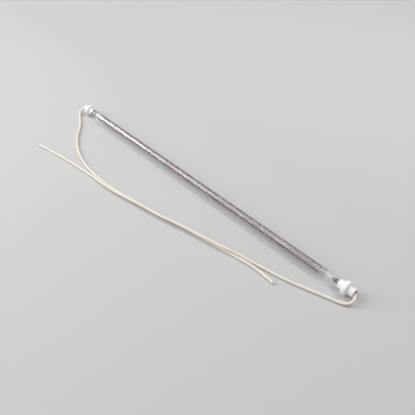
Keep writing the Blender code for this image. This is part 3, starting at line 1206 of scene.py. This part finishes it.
@dataclass(frozen=True)
class Lamp:
    """A rectangular soft lamp that looks at a point of the part.

    Args:
        name: The lamp's name.
        place: Where it stands.
        target: The point that it looks at.
        width: Its size along its own long side.
        height: Its size across.
        radiance: Its brightness, where 1 is the brightness of a white surface in full light.
        long_side: The direction of its long side.
    """

    name: str
    place: tuple[float, float, float]
    target: tuple[float, float, float]
    width: float
    height: float
    radiance: float
    long_side: tuple[float, float, float] = (1.0, 0.0, 0.0)

    def build(self) -> None:
        """Hang the lamp."""
        light = bpy.data.lights.new(self.name, "AREA")
        light.shape = "RECTANGLE"
        light.size = self.width
        light.size_y = self.height
        light.energy = self.radiance * math.pi * self.width * self.height
        back = (Vector(self.place) - Vector(self.target)).normalized()
        across = back.cross(Vector(self.long_side)).normalized()
        turn = Matrix((across.cross(back), across, back)).transposed()
        lamp = bpy.data.objects.new(self.name, light)
        lamp.matrix_world = Matrix.Translation(self.place) @ turn.to_4x4()
        bpy.context.scene.collection.objects.link(lamp)


WINDOW_SIDE = (0.0, -0.743, -0.669)
LAMPS = (
    Lamp("overhead", (0.40, 0.57, 1.13), (0.10, 0.0, 0.0), 0.66, 0.20, 12.0),
    Lamp("top_strip", (-0.35, 0.05, 1.20), (-0.05, 0.0, 0.0), 0.9, 0.8, 0.65),
    Lamp("front_strip", (-0.45, -0.80, 0.90), (0.0, 0.0, 0.0), 1.1, 1.2, 1.4),
    Lamp("window", (-1.587, -0.761, 0.845), (-0.19, 0.0, 0.0), 1.65, 0.44, 5.4, WINDOW_SIDE),
    Lamp("window_edge", (-1.30, -0.868, 0.964), (-0.10, 0.0, 0.0), 1.65, 0.22, 3.1, WINDOW_SIDE),
    Lamp("window_rim", (-1.12, -0.930, 1.033), (-0.05, 0.0, 0.0), 1.65, 0.22, 1.5, WINDOW_SIDE),
)


@dataclass
class Studio:
    """The pale floor, the soft lamps, the pale surroundings and the camera.

    Args:
        floor_size: Side of the floor.
        camera_place: Where the camera stands.
        camera_turn: Its rotation in degrees.
        lens: Its focal length in millimetres.
        frame_width: Width of its frame in millimetres.
        nearest: Distance from which it sees.
        sky: Brightness of the surroundings as light.
        plain: Colour of the surroundings as the camera sees them.
        behind: Their colour low behind the part, as gloss and glass see them.
        above: Their colour overhead and in front, as gloss and glass see them.
        tilt: How far the bright side of these two leans to the front.
        rise: Heights in that lean at which the brightening starts and is full.
        lamps: A bright narrow lamp overhead and a little behind, weak broad ones above and in front,
            and a window at the far left that fades in three bands.
    """

    floor_size: float = 40.0
    camera_place: tuple[float, float, float] = (0.4608, -0.3612, 0.4085)
    camera_turn: tuple[float, float, float] = (52.915, 0.0, 50.030)
    lens: float = 50.0
    frame_width: float = 36.0
    nearest: float = 0.01
    sky: float = 0.39
    plain: Colour = (0.60, 0.598, 0.592)
    behind: Colour = (0.36, 0.357, 0.354)
    above: Colour = (1.0, 0.99, 0.985)
    tilt: float = 0.6
    rise: Span = (0.42, 0.82)
    lamps: tuple[Lamp, ...] = LAMPS

    def camera(self) -> None:
        """Set up the camera at the photograph's viewing angle."""
        data = bpy.data.cameras.new("camera")
        data.lens = self.lens
        data.sensor_width = self.frame_width
        data.clip_start = self.nearest
        eye = bpy.data.objects.new("camera", data)
        eye.location = self.camera_place
        eye.rotation_euler = tuple(math.radians(angle) for angle in self.camera_turn)
        bpy.context.scene.collection.objects.link(eye)
        bpy.context.scene.camera = eye

    def world(self) -> None:
        """Light the part from all round, with a pale backdrop for the camera, gloss and glass."""
        world = bpy.data.worlds.new("studio")
        world.use_nodes = True
        bpy.context.scene.world = world
        wiring = Wiring(world.node_tree)
        rays = wiring.add("ShaderNodeLightPath").outputs
        mirrored = wiring.maths("MAXIMUM", rays["Is Glossy Ray"], rays["Is Transmission Ray"])
        way = wiring.add("ShaderNodeSeparateXYZ", {0: wiring.add("ShaderNodeTexCoord").outputs["Generated"]})
        lean = wiring.maths("MULTIPLY", way.outputs["Y"], self.tilt)
        height = wiring.maths("SUBTRACT", way.outputs["Z"], lean)
        rise = wiring.ramp(height, UNIT, self.rise, Ramp.SMOOTH)
        backdrop = wiring.blend(rise, opaque(self.behind), opaque(self.above))
        light = wiring.blend(mirrored, grey(self.sky), backdrop)
        colour = wiring.blend(rays["Is Camera Ray"], light, opaque(self.plain))
        wiring.feed(world.node_tree.nodes["Background"], {"Color": colour})

    def floor(self, finishes: Finishes) -> None:
        """Lay the floor."""
        shape = bmesh.new()
        bmesh.ops.create_grid(shape, x_segments=1, y_segments=1, size=self.floor_size / 2)
        finished("floor", shape, finishes.floor)

    def build(self, finishes: Finishes) -> None:
        """Build all but the camera, which comes first of all."""
        self.world()
        self.floor(finishes)
        for lamp in self.lamps:
            lamp.build()


def main() -> None:
    """Build the camera, the leads, the pieces of the tube and the studio in order."""
    logging.basicConfig(level=logging.INFO, format="%(message)s")
    studio = Studio()
    studio.camera()
    finishes = Finishes.make(Effects())
    Lead(Side.RIGHT, RIGHT_ROUTE, length=0.500).build(finishes)
    Lead(Side.LEFT, LEFT_ROUTE, length=0.487).build(finishes)
    QuartzTube().build(finishes)
    HeatingCoil().build(finishes)
    for side in Side:
        EndCap(side).build(finishes)
        Ferrule(side).build(finishes)
    studio.build(finishes)
    bpy.context.scene.view_settings.view_transform = "Standard"


if __name__ == "__main__":
    main()
